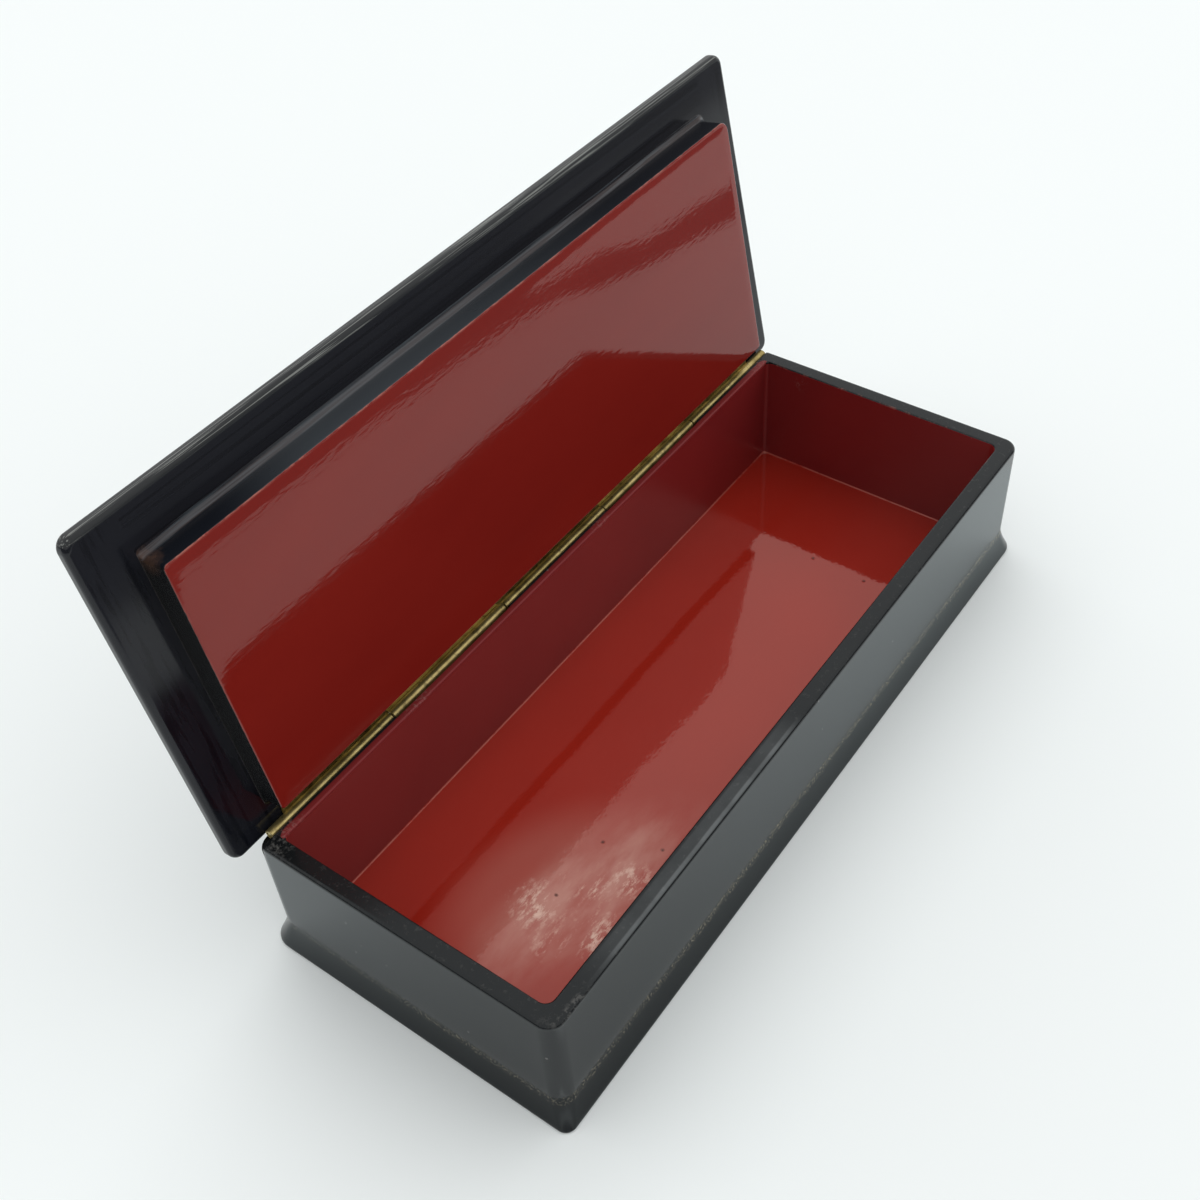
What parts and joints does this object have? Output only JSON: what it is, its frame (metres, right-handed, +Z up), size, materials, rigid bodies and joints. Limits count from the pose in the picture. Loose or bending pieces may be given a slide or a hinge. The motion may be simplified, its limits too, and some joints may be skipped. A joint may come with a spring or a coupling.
{
  "type": "trinket box",
  "caption": "Long lacquered trinket box, black outside and red inside, with a plugged lid standing open on a full-length brass hinge",
  "frame": {"origin": "on the underside of the base, at its middle", "axes": "+X along the length of the box to the right, +Y to the hinge side, +Z up"},
  "size_m": [0.21, 0.1001, 0.1162],
  "materials": {
    "black_lacquer": "black lacquer over layered paper board, polished, worn at the rim",
    "red_lacquer": "brown-red lacquer over layered paper board, glossy with a thin haze",
    "brass": "drawn brass strip and wire, dulled with age"
  },
  "bodies": {
    "box": {"box_walls": "black_lacquer", "floor_panel": "red_lacquer", "base_plinth": "black_lacquer", "hinge_box_leaf": "brass", "hinge_pin": "brass", "wall_pin_1": "brass", "wall_pin_2": "brass", "wall_pin_3": "brass", "wall_pin_4": "brass", "wall_pin_5": "brass"},
    "lid": {"lid_board": "black_lacquer", "lid_plug": "red_lacquer", "hinge_lid_leaf": "brass", "lid_pin_1": "brass", "lid_pin_2": "brass", "lid_pin_3": "brass", "lid_pin_4": "brass", "lid_pin_5": "brass"}
  },
  "joints": [
    {"name": "lid_hinge", "type": "hinge", "parent": "box", "child": "lid", "pos_m": [0, 0.0378, 0.0345], "axis": [1, 0, 0], "range_deg": [0, 100.8]}
  ]
}
